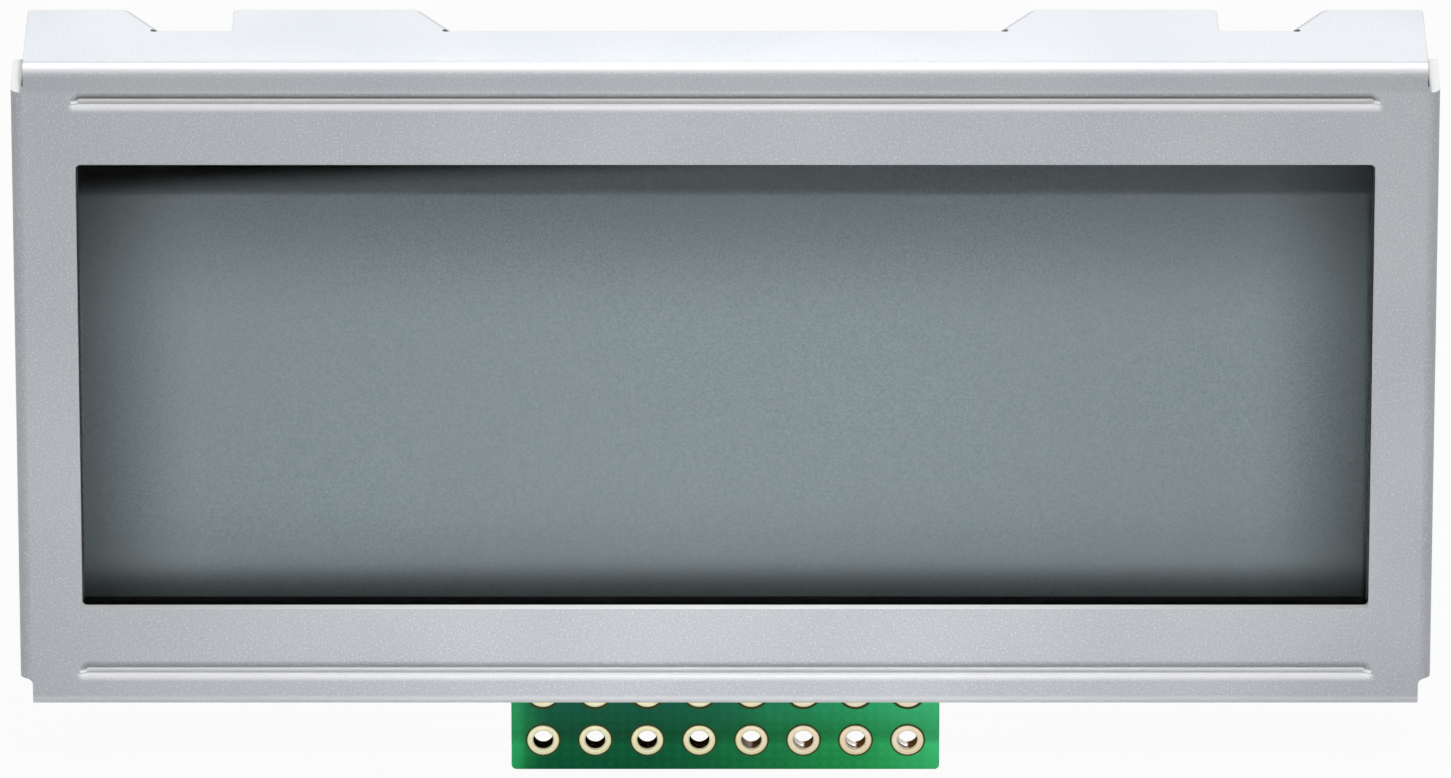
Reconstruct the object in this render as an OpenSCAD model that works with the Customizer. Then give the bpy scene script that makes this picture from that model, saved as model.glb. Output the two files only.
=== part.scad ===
// Graphic display module: a reflective liquid crystal cell that a folded metal bezel clamps to its board.
// The origin is the centre of the bezel's face. X runs right, Y runs to the rear and Z runs up.

/* [Bezel] */
// Width of the bezel, across its side flanges
bezel_w = 68.3; // [67:0.1:84]
// Height of the bezel, across its top and bottom flanges
bezel_h = 33.4; // [33:0.1:42]
// Thickness of the bezel's sheet metal
sheet = 0.5; // [0.3:0.05:0.6]
// Inner radius of the bends round the face
bend_in_r = 0.1; // [0.05:0.05:0.3]
// Depth of the flanges, from the face to the shoulder at the board
flange_depth = 4.4; // [4.1:0.1:6]
// Length of side flange that is cut away at each corner
corner_relief = 1.45; // [1.2:0.05:2.5]
// Fillet at the root of each corner cut
relief_r = 0.3; // [0.1:0.05:0.5]

/* [Window] */
// Width of the viewing window
window_w = 62.2; // [40:0.1:62.4]
// Height of the viewing window
window_h = 23.1; // [15:0.1:23.2]
// Corner radius of the viewing window
window_r = 0.25; // [0.1:0.05:1]

/* [Stiffening grooves] */
// Length of each groove at the face
groove_l = 62.7; // [30:0.1:63]
// Width of each groove at the face
groove_w = 1.05; // [0.9:0.05:1.3]
// Radius of each groove's rounded shoulders
groove_r = 0.45; // [0.35:0.05:0.45]
// Depth to which each groove is pressed in
groove_depth = 0.35; // [0.25:0.05:0.35]
// Distance of each groove's centre line from the bezel's top or bottom edge
groove_inset = 1.9; // [1.8:0.05:2.4]

/* [Locking tabs] */
// Length of the tabs, from the shoulder to their ends
tab_l = 2.8; // [2.4:0.1:3.6]
// Distance from the middle of the bezel to an inner tab's fold, at the shoulder
inner_tab_x = 13.4; // [13.2:0.1:18]
// Width of an inner tab at the shoulder
inner_tab_w = 10.25; // [6:0.05:10.5]
// Width of an outer tab at the shoulder, which ends flush with its flange
outer_tab_w = 6.15; // [4:0.05:6.5]
// Sideways run of the slanting line along which a tab's corner is folded
fold_run = 1.6; // [1:0.1:2.2]
// Angle through which a tab's corner is folded in behind the board
fold_angle = 90; // [70:1:95]
// Diameter of the hole punched at the foot of each fold, which keeps the sheet from tearing
fold_hole_d = 0.35; // [0.2:0.05:0.4]
// Radius of the tabs' free corners and of the fillets at their roots
tab_r = 0.3; // [0.1:0.05:0.5]

/* [Board] */
// Thickness of the board
board_t = 1; // [0.8:0.1:2]
// Corner radius of the board's tongue
tongue_r = 0.25; // [0.1:0.05:1]
// Number of header holes in a row
pin_cols = 8; // [4:1:8]
// Number of rows of header holes
pin_rows = 2; // [1:1:2]
// Distance between neighbouring header holes
pin_pitch = 2.54; // [2:0.01:3.1]
// Diameter of a finished header hole
hole_d = 1; // [0.8:0.05:1.2]
// Diameter of the ring of plating round a header hole
ring_d = 1.56; // [1.45:0.02:1.9]
// Thickness of the rings of plating, with the copper under them
ring_t = 0.05; // [0.03:0.01:0.08]
// Distance from the bezel's lower edge to the upper row of header holes
row_drop = 1.16; // [1:0.02:3]
// Distance from the outer header holes to the tongue's edges
pin_margin = 1.55; // [1:0.05:3]

/* [Glass cell] */
// Thickness of each glass plate
glass_t = 1.1; // [0.5:0.1:1.3]
// Gap between the glass plates, which the edge seal fills
cell_gap = 0.05; // [0.03:0.01:0.1]
// Thickness of each polariser film
film_t = 0.2; // [0.1:0.05:0.25]
// Overlap of the polariser films beyond the window
film_overlap = 0.7; // [0.4:0.1:0.7]
// Width of the seal between the plates
seal_w = 0.5; // [0.4:0.1:1.5]
// Distance of the seal from the rear plate's edges
seal_inset = 0.3; // [0.1:0.1:1]
// Length of the plug that closes the filling port
port_l = 3; // [2:0.5:6]

/* [Contacts] */
// Width of the rubber contact strips
strip_w = 2; // [1.5:0.1:2.2]
// Distance of the contact strips' ends from the glass plate's ends
strip_inset = 1.5; // [1:0.1:4]
// Distance between neighbouring contact fingers on the board
finger_pitch = 1; // [0.6:0.1:2]
// Width of a contact finger
finger_w = 0.5; // [0.3:0.05:0.6]
// Thickness of the contact fingers' foil
foil = 0.035; // [0.02:0.005:0.07]
// Thickness of the holder's rim round the glass
rim_t = 0.6; // [0.5:0.05:1]
// Thickness of the holder's rib between the glass and each strip
rib_t = 0.55; // [0.4:0.05:0.8]

/* [Board's rear side] */
// Diameter of the resin drops over the driver chips
drop_d = 13; // [10:0.5:15]
// Height of the resin drops
drop_h = 1.3; // [0.8:0.1:1.6]
// Distance between the two resin drops
drop_spacing = 32; // [24:0.5:38]
// Height of the resin drops' centres above the middle of the bezel
drop_z = 1.5; // [-2:0.5:4]
// Length of a chip resistor or capacitor
chip_l = 2; // [1.6:0.1:2.4]
// Width of a chip resistor or capacitor
chip_w = 1.25; // [0.8:0.05:1.6]
// Height of a chip resistor
resistor_h = 0.5; // [0.4:0.05:0.7]
// Height of a chip capacitor
capacitor_h = 0.9; // [0.6:0.05:1.2]
// Length of the metal cap on each end of a chip
cap_l = 0.4; // [0.3:0.05:0.5]
// Distance between neighbouring chip resistors
resistor_pitch = 4.2; // [3.6:0.1:5]
// Height of the row of chip resistors above the middle of the bezel
resistor_z = -11.6; // [-12.4:0.1:-10]
// Height of the upper chip capacitors above the middle of the bezel
capacitor_z = 11.6; // [10:0.1:12.4]
// Length of the solder wedge at each end of a chip
solder_l = 0.35; // [0.2:0.05:0.6]
// Share of a chip's height that the solder wedges reach
solder_rise = 0.8; // [0.4:0.1:1]

/* [Clearances] */
// Gap between the bezel's flanges and the holder
holder_gap = 0.15; // [0.1:0.05:0.25]
// Gap round the glass plates in the holder
glass_gap = 0.1; // [0.05:0.05:0.2]
// Gap round the contact strips in the holder
slot_gap = 0.05; // [0.03:0.01:0.1]
// Gap between the bezel's flanges and the board
board_gap = 0.25; // [0.25:0.05:0.4]
// Gap between the folded tab corners and the board
lock_gap = 0.06; // [0.03:0.01:0.15]
// Gap of each bonded joint
bond_gap = 0.01; // [0.005:0.005:0.02]

/* [Hidden] */
$fn = 48;
// How far each cutting shape runs past the piece that it cuts
over = 1;
bend_r = bend_in_r + sheet;
// Half sizes of the flat face between its bends, and of the space inside the flanges
face_x = bezel_w / 2 - bend_r;
face_z = bezel_h / 2 - bend_r;
inside_x = bezel_w / 2 - sheet;
inside_z = bezel_h / 2 - sheet;
side_z = bezel_h / 2 - corner_relief;
tab_end = flange_depth + tab_l;
outer_tab_x = face_x - outer_tab_w;

// Depths of the layers, from the bezel's face to the rear
glass_y = sheet + groove_depth;
rear_glass_y = glass_y + glass_t + cell_gap;
ledge_y = glass_y + glass_t;
reflector_y = rear_glass_y + glass_t;
board_y = flange_depth;
rear_y = board_y + board_t;

// The bead inside a groove: the slope of its walls, and its crest, wider than the floor by the sheet's turn
bead_slope = 45;
groove_z = bezel_h / 2 - groove_inset;
groove_floor = groove_w - 2 * sqrt(pow(groove_r, 2) - pow(groove_r - groove_depth, 2));
bead_w = groove_floor + 2 * sheet * tan(bead_slope / 2);
bead_l = groove_l - groove_w + bead_w;

// Half sizes of the holder, the glass plates, the films and the strips' places
holder_x = inside_x - holder_gap;
holder_z = inside_z - holder_gap;
glass_x = holder_x - rim_t - glass_gap;
glass_z = holder_z - rim_t - glass_gap;
slot_w = strip_w + 2 * slot_gap;
slot_wall = rim_t + glass_gap + slot_gap;
slot_z = holder_z - slot_wall - slot_w / 2;
rear_glass_z = slot_z - slot_w / 2 - rib_t - glass_gap;
seal_x = glass_x - seal_inset;
seal_z = rear_glass_z - seal_inset;
film_x = window_w / 2 + film_overlap;
film_z = window_h / 2 + film_overlap;
strip_l = 2 * (glass_x - strip_inset);
port_t = rim_t / 2 + glass_gap;
finger_count = floor((strip_l - finger_w) / finger_pitch) + 1;

// The board's outline and header
board_x = inside_x - board_gap;
board_z = inside_z - board_gap;
pin_z = -bezel_h / 2 - row_drop;
tongue_x = (pin_cols - 1) * pin_pitch / 2 + pin_margin;
tongue_z = pin_z - (pin_rows - 1) * pin_pitch - pin_margin;
pins = [for (row = [0:pin_rows - 1], col = [0:pin_cols - 1])
    [(col - (pin_cols - 1) / 2) * pin_pitch, pin_z - row * pin_pitch]];

// The fold lines: their slant, and where the folded corner's inner face leaves the board's rear face
fold_slant = atan2(tab_l, fold_run);
fold_l = norm([tab_l, fold_run]);
corner_along = tab_l * sin(fold_slant);
corner_out = tab_l * cos(fold_slant);
notch_run = fold_run * board_t / tab_l;
notch_depth = corner_out * notch_run / fold_run * fold_l / corner_along;

// The chips on the board's rear side, each by its centre in X and Z: the resistors and a capacitor
// stand in one row, and a capacitor stands over each resin drop
resistor_count = 5;
chip_row = [for (i = [0:resistor_count]) [(i - (resistor_count - 1) / 2) * resistor_pitch, resistor_z]];
resistors = [for (i = [0:resistor_count - 1]) chip_row[i]];
capacitors = [chip_row[resistor_count], [-drop_spacing / 2, capacitor_z], [drop_spacing / 2, capacitor_z]];

// A box by its half sizes in X and Z, from one depth to another
module slab(half_x, half_z, front, rear) {
    translate([-half_x, front, -half_z])
        cube([2 * half_x, rear - front, 2 * half_z]);
}

// A flat outline drawn in X and Z, drawn out along Y from one depth to another
module plate(front, rear) {
    translate([0, rear, 0])
        rotate([90, 0, 0])
            linear_extrude(rear - front)
                children();
}

module rounded_rectangle(half_x, half_z, r) {
    square([2 * half_x, 2 * (half_z - r)], center = true);
    square([2 * (half_x - r), 2 * half_z], center = true);
    for (x = [-1, 1], z = [-1, 1])
        translate([x * (half_x - r), z * (half_z - r)])
            circle(r);
}

// A quarter bend along X, from the sheet's face round to a wall that stands to the rear
module bend(l) {
    rotate([90, 0, 90])
        rotate([0, 0, 90])
            translate([0, 0, -l / 2])
                rotate_extrude(angle = 90)
                    translate([bend_in_r, 0])
                        square([sheet, l]);
}

// A bend and its flange, above the face at a given distance from the middle
module flange(reach, l) {
    translate([0, bend_r, reach - bend_r])
        bend(l);
    translate([-l / 2, bend_r, reach - sheet])
        cube([l, flange_depth - bend_r, sheet]);
}

// Half of a groove's section, from its middle to where its shoulder meets the face at Y = 0
module groove_half() {
    difference() {
        translate([0, -over])
            square([groove_w / 2, over + groove_depth]);
        translate([groove_w / 2, groove_r])
            circle(groove_r);
    }
}

// The hollow of a groove: its straight length and its round ends
module groove() {
    straight = groove_l - groove_w;
    for (side = [0, 1])
        mirror([0, 0, side])
            rotate([0, -90, 0])
                linear_extrude(straight, center = true)
                    groove_half();
    for (end = [-1, 1])
        translate([end * straight / 2, 0, 0])
            rotate([-90, 0, 0])
                rotate_extrude()
                    groove_half();
}

// A bead's section by the width of its crest
module bead_section(crest) {
    base = crest + 2 * groove_depth / tan(bead_slope);
    polygon([[-base / 2, 0], [base / 2, 0], [crest / 2, groove_depth], [-crest / 2, groove_depth]]);
}

// The bead that a groove raises inside the bezel: a bar with four sloping sides and a flat crest
module bead() {
    intersection() {
        rotate([0, -90, 0])
            linear_extrude(2 * bead_l, center = true)
                bead_section(bead_w);
        linear_extrude(2 * bead_l, center = true)
            bead_section(bead_l);
    }
}

// The corner of a side flange that is cut away, with its rounded root
module corner_cut() {
    translate([face_x + relief_r, -over, side_z])
        cube([bend_r + over, tab_end + over, corner_relief]);
    translate([face_x + relief_r, -over, side_z + relief_r])
        rotate([-90, 0, 0])
            cylinder(r = relief_r, h = tab_end + over);
}

// A quarter fillet in the corner between two lines through the origin, in the +X +Y quarter
module root_fillet(r) {
    difference() {
        square(r);
        translate([r, r])
            circle(r);
    }
}

// A tab's flat outline in X and Y, up to a line beside its slanting fold
module tab_outline(start, w) {
    difference() {
        polygon([[start + sheet, flange_depth - sheet], [start + sheet, flange_depth],
            [start + fold_run + sheet, tab_end], [start + w, tab_end], [start + w, flange_depth - sheet]]);
        translate([start + w, tab_end])
            rotate(180)
                root_fillet(tab_r);
    }
}

// The margin of a tab along its fold line, the bend there and the corner that hangs down from it
module folded_corner(start) {
    root = sheet / 2;
    intersection() {
        translate([start, flange_depth, inside_z])
            rotate([0, 0, fold_slant]) {
                translate([-root, -2 * sheet, 0])
                    cube([fold_l + 2 * root, 2 * sheet, sheet]);
                translate([-root, 0, 0])
                    rotate([90 - fold_angle, 0, 0])
                        rotate([90, 0, 90])
                            rotate_extrude(angle = fold_angle)
                                square([sheet, fold_l + 2 * root]);
                rotate([-fold_angle, 0, 0])
                    linear_extrude(sheet)
                        polygon([[0, 0], [fold_l + root / 2, 0], [corner_along, corner_out]]);
            }
        slab(bezel_w, bezel_h, bend_r, tab_end);
    }
}

module tab(start, w) {
    translate([0, 0, inside_z])
        linear_extrude(sheet)
            tab_outline(start, w);
    folded_corner(start);
}

// The fillet between the shoulder and the straight side of an inner tab
module tab_root() {
    translate([inner_tab_x + inner_tab_w, flange_depth, inside_z])
        linear_extrude(sheet)
            root_fillet(tab_r);
}

// The hole at the foot of a tab's fold
module fold_hole(start) {
    translate([start, flange_depth + fold_hole_d / 3, inside_z - over])
        cylinder(d = fold_hole_d, h = sheet + 2 * over);
}

// One long flange with its four tabs, in its place above the window
module tabbed_flange() {
    difference() {
        union() {
            flange(bezel_h / 2, 2 * face_x);
            for (side = [0, 1])
                mirror([side, 0, 0]) {
                    tab(inner_tab_x, inner_tab_w);
                    tab(outer_tab_x, outer_tab_w);
                    tab_root();
                }
        }
        for (side = [0, 1])
            mirror([side, 0, 0]) {
                fold_hole(inner_tab_x);
                fold_hole(outer_tab_x);
            }
    }
}

// The bezel is one sheet: its face, the pressed grooves, two side flanges and two tabbed flanges
module bezel() {
    color("silver")
        difference() {
            union() {
                slab(face_x, face_z, 0, sheet);
                for (side = [0, 1])
                    mirror([0, 0, side]) {
                        tabbed_flange();
                        translate([0, sheet, groove_z])
                            bead();
                    }
                for (turn = [-90, 90])
                    rotate([0, turn, 0])
                        flange(bezel_w / 2, 2 * (side_z + relief_r));
            }
            plate(-over, sheet + over)
                rounded_rectangle(window_w / 2, window_h / 2, window_r);
            for (x = [0, 1], z = [0, 1])
                mirror([x, 0, 0])
                    mirror([0, 0, z])
                        corner_cut();
            for (side = [0, 1])
                mirror([0, 0, side])
                    translate([0, 0, groove_z])
                        groove();
        }
}

module front_polariser() {
    color([0.35, 0.4, 0.4, 0.3])
        slab(film_x, film_z, glass_y - film_t, glass_y - bond_gap);
}

module front_glass() {
    color([0.8, 0.9, 0.88, 0.2])
        slab(glass_x, glass_z, glass_y, ledge_y);
}

module cell_seal() {
    color([0.1, 0.1, 0.1])
        difference() {
            slab(seal_x, seal_z, ledge_y, rear_glass_y);
            slab(seal_x - seal_w, seal_z - seal_w, ledge_y - over, rear_glass_y + over);
        }
}

// A bead of resin on the cell's right edge, over the port through which the cell was filled
module fill_port_plug() {
    color([0.1, 0.1, 0.1])
        translate([glass_x, glass_y + glass_t / 2, 0])
            rotate([-90, 0, 0])
                linear_extrude(glass_t + cell_gap)
                    intersection() {
                        translate([port_t - port_bulge_r(), 0])
                            circle(port_bulge_r());
                        translate([0, -port_l])
                            square([port_l, 2 * port_l]);
                    }
}

// Radius of an arc that spans the port's length and stands out by the plug's thickness
function port_bulge_r() = (pow(port_l / 2, 2) + pow(port_t, 2)) / (2 * port_t);

module rear_glass() {
    color([0.8, 0.9, 0.88, 0.2])
        slab(glass_x, rear_glass_z, rear_glass_y, reflector_y);
}

// The rear polariser carries the grey reflector that gives the window its tone
module rear_polariser() {
    color([0.5, 0.55, 0.55])
        slab(film_x, film_z, reflector_y + bond_gap, reflector_y + film_t);
}

module contact_strip() {
    translate([0, 0, slot_z])
        slab(strip_l / 2, strip_w / 2, ledge_y, board_y - foil);
}

module upper_contact_strip() {
    color("dimgray")
        contact_strip();
}

module lower_contact_strip() {
    color("dimgray")
        mirror([0, 0, 1])
            contact_strip();
}

// A moulded frame: its rim lines up the front plate, and its body holds the strips against the board
module strip_holder() {
    color("gainsboro")
        difference() {
            slab(holder_x, holder_z, glass_y, board_y);
            slab(glass_x + glass_gap, glass_z + glass_gap, glass_y - over, ledge_y);
            slab(glass_x + glass_gap, rear_glass_z + glass_gap, glass_y, board_y + over);
            for (side = [-1, 1])
                translate([0, 0, side * slot_z])
                    slab(strip_l / 2 + slot_gap, slot_w / 2, glass_y, board_y + over);
            translate([glass_x, 0, 0])
                slab(port_t + glass_gap, port_l / 2 + glass_gap, glass_y - over, board_y + over);
        }
}

module contact_fingers() {
    color("gold")
        for (side = [-1, 1], i = [0:finger_count - 1])
            translate([(i - (finger_count - 1) / 2) * finger_pitch, 0, side * slot_z])
                slab(finger_w / 2, strip_w / 2, board_y - foil, board_y);
}

// A notch in the board's top edge, which a tab's corner passes through before it locks behind the board
module corner_notch(start) {
    left = start - sheet * sin(fold_slant) - lock_gap;
    right = start + notch_run + lock_gap;
    floor_z = inside_z - notch_depth - 2 * lock_gap;
    translate([left, floor_z])
        square([right - left, inside_z - floor_z]);
}

module board_outline() {
    difference() {
        union() {
            square([2 * board_x, 2 * board_z], center = true);
            translate([-tongue_x, tongue_z])
                square([2 * tongue_x, -tongue_z]);
        }
        for (side = [0, 1], end = [0, 1])
            mirror([side, 0])
                mirror([0, end]) {
                    corner_notch(inner_tab_x);
                    corner_notch(outer_tab_x);
                }
        for (side = [0, 1])
            mirror([side, 0])
                translate([-tongue_x, tongue_z])
                    root_fillet(tongue_r);
    }
}

module board() {
    color("seagreen")
        difference() {
            plate(board_y, rear_y)
                board_outline();
            for (pin = pins)
                translate([pin[0], board_y - over, pin[1]])
                    rotate([-90, 0, 0])
                        cylinder(d = hole_d, h = board_t + 2 * over);
        }
}

// The rings of plating round one header hole, one on each side of the board
module hole_rings() {
    rotate([-90, 0, 0])
        rotate_extrude()
            for (y = [board_y - ring_t, rear_y])
                translate([hole_d / 2, y])
                    square([(ring_d - hole_d) / 2, ring_t]);
}

module header_rings() {
    color("gold")
        for (pin = pins)
            translate([pin[0], 0, pin[1]])
                hole_rings();
}

// A low dome of resin, as it sets over a bonded chip
module resin_drop() {
    dome_r = (pow(drop_d / 2, 2) + pow(drop_h, 2)) / (2 * drop_h);
    rotate([-90, 0, 0])
        rotate_extrude()
            intersection() {
                translate([0, drop_h - dome_r])
                    circle(dome_r, $fn = 180);
                square([drop_d, drop_h]);
            }
}

module driver_drops() {
    color([0.08, 0.08, 0.08])
        for (side = [-1, 1])
            translate([side * drop_spacing / 2, rear_y, drop_z])
                resin_drop();
}

module chip_body(h) {
    slab(chip_l / 2 - cap_l, chip_w / 2, rear_y + bond_gap, rear_y + h);
}

module chip_resistors() {
    color([0.1, 0.1, 0.12])
        for (chip = resistors)
            translate([chip[0], 0, chip[1]])
                chip_body(resistor_h);
}

module chip_capacitors() {
    color("tan")
        for (chip = capacitors)
            translate([chip[0], 0, chip[1]])
                chip_body(capacitor_h);
}

module chip_ends(h) {
    for (end = [0, 1])
        mirror([end, 0, 0])
            translate([(chip_l - cap_l) / 2, 0, 0])
                slab(cap_l / 2, chip_w / 2, rear_y, rear_y + h);
}

module chip_end_caps() {
    color("lightgray") {
        for (chip = resistors)
            translate([chip[0], 0, chip[1]])
                chip_ends(resistor_h);
        for (chip = capacitors)
            translate([chip[0], 0, chip[1]])
                chip_ends(capacitor_h);
    }
}

// The wedges of solder at both ends of a chip
module solder_ends(h) {
    for (end = [0, 1])
        mirror([end, 0, 0])
            translate([chip_l / 2, rear_y, 0])
                linear_extrude(chip_w, center = true)
                    polygon([[0, 0], [solder_l, 0], [0, solder_rise * h]]);
}

module solder_fillets() {
    color("lightgray") {
        for (chip = resistors)
            translate([chip[0], 0, chip[1]])
                solder_ends(resistor_h);
        for (chip = capacitors)
            translate([chip[0], 0, chip[1]])
                solder_ends(capacitor_h);
    }
}

bezel();
front_polariser();
front_glass();
cell_seal();
fill_port_plug();
rear_glass();
rear_polariser();
upper_contact_strip();
lower_contact_strip();
strip_holder();
contact_fingers();
board();
header_rings();
driver_drops();
chip_resistors();
chip_capacitors();
chip_end_caps();
solder_fillets();
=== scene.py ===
"""The display module's looks: its finishes, plated holes, board's rear side and studio."""

import math

import bmesh
import bpy
from mathutils import Matrix, Vector


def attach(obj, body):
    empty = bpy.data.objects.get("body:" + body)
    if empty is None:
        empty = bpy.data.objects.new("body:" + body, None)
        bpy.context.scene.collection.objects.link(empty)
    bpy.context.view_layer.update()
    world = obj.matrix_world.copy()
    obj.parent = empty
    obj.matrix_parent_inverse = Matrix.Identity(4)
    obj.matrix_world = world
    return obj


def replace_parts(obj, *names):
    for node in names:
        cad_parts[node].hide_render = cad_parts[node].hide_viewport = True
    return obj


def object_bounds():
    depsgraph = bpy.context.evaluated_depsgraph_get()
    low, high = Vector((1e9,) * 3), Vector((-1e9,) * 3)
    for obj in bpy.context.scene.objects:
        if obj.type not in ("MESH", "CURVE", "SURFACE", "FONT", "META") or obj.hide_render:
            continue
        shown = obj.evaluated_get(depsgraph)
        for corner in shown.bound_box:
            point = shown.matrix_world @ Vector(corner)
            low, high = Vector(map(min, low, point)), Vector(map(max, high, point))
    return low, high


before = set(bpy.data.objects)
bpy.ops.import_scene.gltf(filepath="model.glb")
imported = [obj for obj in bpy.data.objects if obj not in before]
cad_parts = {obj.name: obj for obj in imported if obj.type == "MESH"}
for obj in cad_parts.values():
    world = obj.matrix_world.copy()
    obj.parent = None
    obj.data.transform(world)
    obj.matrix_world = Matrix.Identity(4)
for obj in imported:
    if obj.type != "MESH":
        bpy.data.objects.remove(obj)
cad_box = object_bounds()

MM = 0.001
# Points nearer than this are one point
WELD = 0.0001 * MM

# The board's two faces and a line just inside its tongue's sides, in millimetres
BOARD_FRONT = 4.4
BOARD_REAR = 5.4
TONGUE_X = 10.2

# Header holes, in millimetres: the plating lies between the drilled wall and the open barrel
PITCH = 2.54
HOLE_X = [(i - 3.5) * PITCH for i in range(8)]
HOLE_Z = [-17.86, -20.40]
WALL_R = 0.4995
BARREL_R = 0.482
RING_R = 0.78
RING_T = 0.05
LIP_L = 0.12
HOLE_STEPS = 40

# The bezel, in millimetres: its sheet, window, pressed grooves, bends and flanges
SHEET = 0.5
WINDOW_X = 31.1
WINDOW_Z = 11.55
GROOVE_Z = 14.8
GROOVE_REACH = 0.53
GROOVE_X = 31.4
BEND_Z = 15.9
LONG_FLANGE_Z = 16.15
SHORT_FLANGE_X = 33.62
FLANGE_END = 4.3

# The board's rear side, in millimetres: its tracks and printed lines
TRACK_T = 0.03
TRACK_W = 0.24
FAN_W = 0.18
SILK_T = 0.05
SILK_W = 0.13
TURN_Z = -15.6
UPPER_LANES = [-10.5, -6.35, -3.2, -1.85, 1.85, 3.2, 6.35, 10.5]
LOWER_LANES = [-7.4, -5.2, -2.4, -1.0, 2.4, 5.2, 7.4, 11.6]
PLANE_Z = 8.0

# The resin drops over the two driver chips, in millimetres
DROP_X = 16
DROP_Z = 1.5
DROP_R = 6.5
DROP_STEPS = 72
FAN_R = DROP_R + 0.8

# The chips, in millimetres: each lies along X, with a metal cap and a bead of solder at both ends
RESISTORS = [(x, -11.6) for x in (-8.4, -4.2, 0, 4.2, 8.4)]
CAPACITORS = [(12.6, -11.6), (-DROP_X, 11.6), (DROP_X, 11.6)]
RESISTOR_H = 0.5
CAPACITOR_H = 0.9
CHIP_END = 1.0
CAP_INNER = 0.6
CAP_W = 0.625
BODY_L = 0.62
BODY_W = 0.605
BEAD_W = 0.58


class Level:
    """A socket whose value varies over a surface: operators on it add Math nodes to the same tree."""

    def __init__(self, nodes, socket):
        self.nodes = nodes
        self.socket = socket

    def reckon(self, operation, *values):
        return self.nodes.add("ShaderNodeMath", {"operation": operation}, dict(enumerate(values)))

    def __add__(self, other):
        return self.reckon("ADD", self, other)

    __radd__ = __add__

    def __sub__(self, other):
        return self.reckon("SUBTRACT", self, other)

    def __rsub__(self, other):
        return self.reckon("SUBTRACT", other, self)

    def __mul__(self, other):
        return self.reckon("MULTIPLY", self, other)

    __rmul__ = __mul__

    def __truediv__(self, other):
        return self.reckon("DIVIDE", self, other)

    def __rtruediv__(self, other):
        return self.reckon("DIVIDE", other, self)

    def __mod__(self, other):
        return self.reckon("FLOORED_MODULO", self, other)

    def __abs__(self):
        return self.reckon("ABSOLUTE", self)

    def __gt__(self, other):
        return self.reckon("GREATER_THAN", self, other)

    def __lt__(self, other):
        return self.reckon("LESS_THAN", self, other)

    def larger(self, other):
        return self.reckon("MAXIMUM", self, other)

    def smaller(self, other):
        return self.reckon("MINIMUM", self, other)

    def root(self):
        return self.reckon("SQRT", self)

    def sign(self):
        return self.reckon("SIGN", self)

    def rise(self, low, high):
        """0 at low and 1 at high, with a smooth climb between them. High may be the lesser."""
        return self.nodes.add("ShaderNodeMapRange", {"interpolation_type": "SMOOTHSTEP"},
                              {"Value": self, "From Min": low, "From Max": high})

    def band(self, low, high, soft):
        """1 between low and high, falling to 0 over a soft margin outside them."""
        return self.rise(low - soft, low) * (1 - self.rise(high, high + soft))

    def streaks(self):
        """0 to 1 for a noise, whose values lie mostly between 0.3 and 0.7."""
        return self.rise(0.3, 0.7)


def find(sockets, key):
    """A socket by its number, or by its identifier or name among those in use."""
    if isinstance(key, int):
        return sockets[key]
    return next(s for s in sockets if s.enabled and key in (s.identifier, s.name))


class Nodes:
    """A node tree, with one method that adds a node to it and short names for the nodes that recur."""

    def __init__(self, owner):
        owner.use_nodes = True
        self.tree = owner.node_tree
        self.tree.nodes.clear()

    def add(self, kind, settings={}, sockets={}, out=0):
        node = self.tree.nodes.new(kind)
        for name, value in settings.items():
            setattr(node, name, value)
        for key, value in sockets.items():
            socket = find(node.inputs, key)
            if isinstance(value, Level):
                self.tree.links.new(value.socket, socket)
            elif socket.type == "RGBA":
                socket.default_value = (*value, 1)
            else:
                socket.default_value = value
        if isinstance(out, tuple):
            return tuple(Level(self, find(node.outputs, name)) for name in out)
        return Level(self, find(node.outputs, out)) if len(node.outputs) else None

    def mix(self, share, first, second):
        return self.add("ShaderNodeMix", {"data_type": "RGBA"},
                        {"Factor_Float": share, "A_Color": first, "B_Color": second}, "Result_Color")

    def rays(self):
        """1 for the camera's own rays, and 1 for those that a gloss or a clear layer sends on."""
        names = ("Is Camera Ray", "Is Glossy Ray", "Is Transmission Ray")
        camera, glossy, clear = self.add("ShaderNodeLightPath", out=names)
        return camera, glossy + clear


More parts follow.
